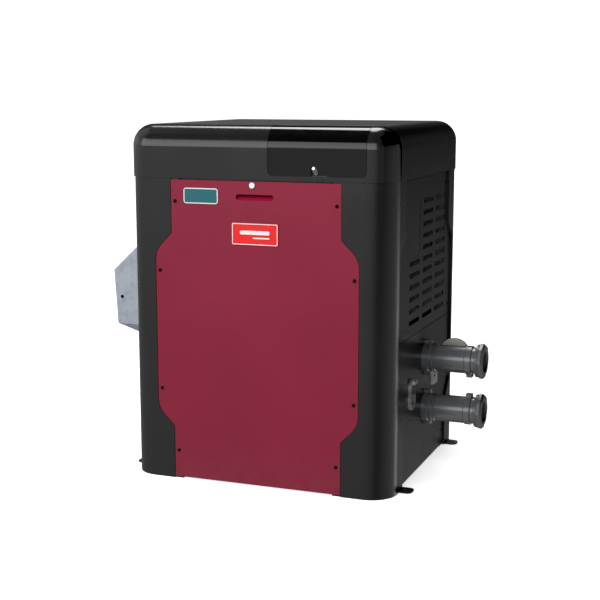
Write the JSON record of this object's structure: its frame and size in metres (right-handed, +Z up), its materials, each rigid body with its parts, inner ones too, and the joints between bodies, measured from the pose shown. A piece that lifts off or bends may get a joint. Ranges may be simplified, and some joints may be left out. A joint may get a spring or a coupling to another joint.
{
  "type": "gas pool heater",
  "caption": "Free-standing outdoor gas pool heater: square cabinet with corner mouldings, rounded lid, hinged control cover, side exhaust hood and union water connections.",
  "frame": {"origin": "centre of the cabinet's footprint, at floor level, on the underside of the base pan", "axes": "+Z up; the front panel faces -Y; the water connections point along +X"},
  "size_m": [0.8675, 0.5849, 0.8],
  "materials": {
    "post_moulding": "satin charcoal moulded polymer with a fine grain",
    "lid_moulding": "satin-gloss charcoal polymer",
    "cover_moulding": "glossy black polymer",
    "burgundy_panel": "powder-coated steel, satin burgundy",
    "dark_panel": "powder-coated steel, satin near-black",
    "galvanised_sheet": "galvanised sheet with spangle and fine vertical brushing",
    "black_steel": "black coated steel",
    "black_fastener": "black oxide screws",
    "bright_fastener": "bright nickel plate",
    "zinc_fastener": "zinc plate",
    "badge_red": "glossy red with a pale rim, blank",
    "trim_teal": "glossy teal with a white rim, blank",
    "pipe_polymer": "satin grey glass-filled polymer",
    "nut_polymer": "satin grey polymer",
    "header_polymer": "black glass-filled polymer",
    "gasket_rubber": "black EPDM rubber",
    "turned_metal": "turned stainless steel",
    "valve_brass": "nickel-washed brass casting",
    "lever_steel": "stamped stainless steel",
    "lug_tin": "tinned aluminium",
    "copper_tube": "copper, slightly tarnished",
    "heater_steel": "aluminised steel sheet",
    "burner_steel": "stainless burner tube",
    "ceramic_board": "ceramic fibre board, modelled as matt",
    "ceramic": "glazed ceramic and nitride rods",
    "gas_pipe": "black iron gas pipe",
    "valve_alloy": "die-cast gas valve",
    "knob_red": "red polymer knob",
    "motor_enamel": "black enamelled motor can",
    "wheel_steel": "galvanised fan wheel",
    "keypad_plastic": "dark grey keypad moulding",
    "button_grey": "soft grey button caps",
    "screen_glass": "dark display window",
    "board_green": "green circuit board",
    "wire_sleeve": "black loom sleeve"
  },
  "bodies": {
    "cabinet": {"anchor_brackets": "black_steel", "base_pan": "black_steel", "blower_housing": "heater_steel", "blower_motor": "motor_enamel", "bonding_lug": "lug_tin", "burner_tray": "heater_steel", "burner_tubes": "burner_steel", "bypass_cap": "turned_metal", "cabinet_screws": "black_fastener", "chamber_insulation": "ceramic_board", "combustion_chamber": "heater_steel", "control_board": "board_green", "control_panel": "keypad_plastic", "cover_hinge_pin": "zinc_fastener", "display_glass": "screen_glass", "exchanger_frame": "heater_steel", "exhaust_hood": "galvanised_sheet", "finned_tubes": "copper_tube", "flue_collector": "heater_steel", "gas_inlet_pipe": "gas_pipe", "gas_manifold": "gas_pipe", "gas_valve": "valve_alloy", "header_bolts": "zinc_fastener", "header_gaskets": "gasket_rubber", "igniter": "ceramic", "inlet_outlet_header": "header_polymer", "lid": "lid_moulding", "post_front_left": "post_moulding", "post_front_right": "post_moulding", "post_rear_left": "post_moulding", "post_rear_right": "post_moulding", "rear_panel": "dark_panel", "relief_lever_pin": "bright_fastener", "relief_valve_body": "valve_brass", "return_header": "header_polymer", "side_panel_left": "dark_panel", "side_panel_right_lower_front": "dark_panel", "side_panel_right_lower_rear": "dark_panel", "side_panel_right_upper": "dark_panel", "union_o_rings": "gasket_rubber", "union_tailpieces": "nut_polymer", "water_stub_lower": "pipe_polymer", "water_stub_upper": "pipe_polymer", "wiring_harness": "wire_sleeve"},
    "control_cover": {"control_cover": "cover_moulding", "cover_latch_rivet": "bright_fastener"},
    "cover_latch": {"cover_latch": "lever_steel"},
    "mode_button": {"button_mode": "button_grey"},
    "up_button": {"button_up": "button_grey"},
    "down_button": {"button_down": "button_grey"},
    "front_panel": {"front_panel": "burgundy_panel", "front_panel_screws": "black_fastener", "badge_plate": "badge_red", "trim_plate": "trim_teal"},
    "door_fastener": {"door_fastener": "bright_fastener"},
    "relief_lever": {"relief_valve_lever": "lever_steel"},
    "upper_union_nut": {"union_nut_upper": "nut_polymer"},
    "lower_union_nut": {"union_nut_lower": "nut_polymer"},
    "gas_knob": {"gas_valve_knob": "knob_red"},
    "impeller": {"blower_impeller": "wheel_steel"}
  },
  "joints": [
    {"name": "control_cover_hinge", "type": "hinge", "parent": "cabinet", "child": "control_cover", "pos_m": [0.143, -0.162, 0.796], "axis": [-1, 0, 0], "range_deg": [0, 95]},
    {"name": "cover_latch_swing", "type": "hinge", "parent": "control_cover", "child": "cover_latch", "pos_m": [0.137, -0.2885, 0.7115], "axis": [0, -1, 0], "range_deg": [0, 40]},
    {"name": "mode_button_press", "type": "slide", "parent": "cabinet", "child": "mode_button", "axis": [0, 0, -1], "range_m": [0, 0.0012]},
    {"name": "up_button_press", "type": "slide", "parent": "cabinet", "child": "up_button", "axis": [0, 0, -1], "range_m": [0, 0.0012]},
    {"name": "down_button_press", "type": "slide", "parent": "cabinet", "child": "down_button", "axis": [0, 0, -1], "range_m": [0, 0.0012]},
    {"name": "front_panel_pull", "type": "slide", "parent": "cabinet", "child": "front_panel", "axis": [0, -1, 0], "range_m": [0, 0.15]},
    {"name": "door_fastener_turn", "type": "hinge", "parent": "front_panel", "child": "door_fastener", "pos_m": [-0.004, -0.2895, 0.672], "axis": [0, -1, 0], "range_deg": [0, 90]},
    {"name": "relief_lever_lift", "type": "hinge", "parent": "cabinet", "child": "relief_lever", "pos_m": [0.3135, -0.11, 0.2265], "axis": [0, -1, 0], "range_deg": [0, 80]},
    {"name": "upper_union_nut_spin", "type": "hinge", "parent": "cabinet", "child": "upper_union_nut", "pos_m": [0.43, 0.009, 0.26], "axis": [1, 0, 0], "continuous": true},
    {"name": "lower_union_nut_spin", "type": "hinge", "parent": "cabinet", "child": "lower_union_nut", "pos_m": [0.43, 0.009, 0.1418], "axis": [1, 0, 0], "continuous": true},
    {"name": "gas_knob_turn", "type": "hinge", "parent": "cabinet", "child": "gas_knob", "pos_m": [-0.105, -0.2244, 0.2], "axis": [0, -1, 0], "range_deg": [0, 90]},
    {"name": "impeller_spin", "type": "hinge", "parent": "cabinet", "child": "impeller", "pos_m": [-0.02, 0.04, 0.465], "axis": [0, 0, 1], "continuous": true}
  ]
}
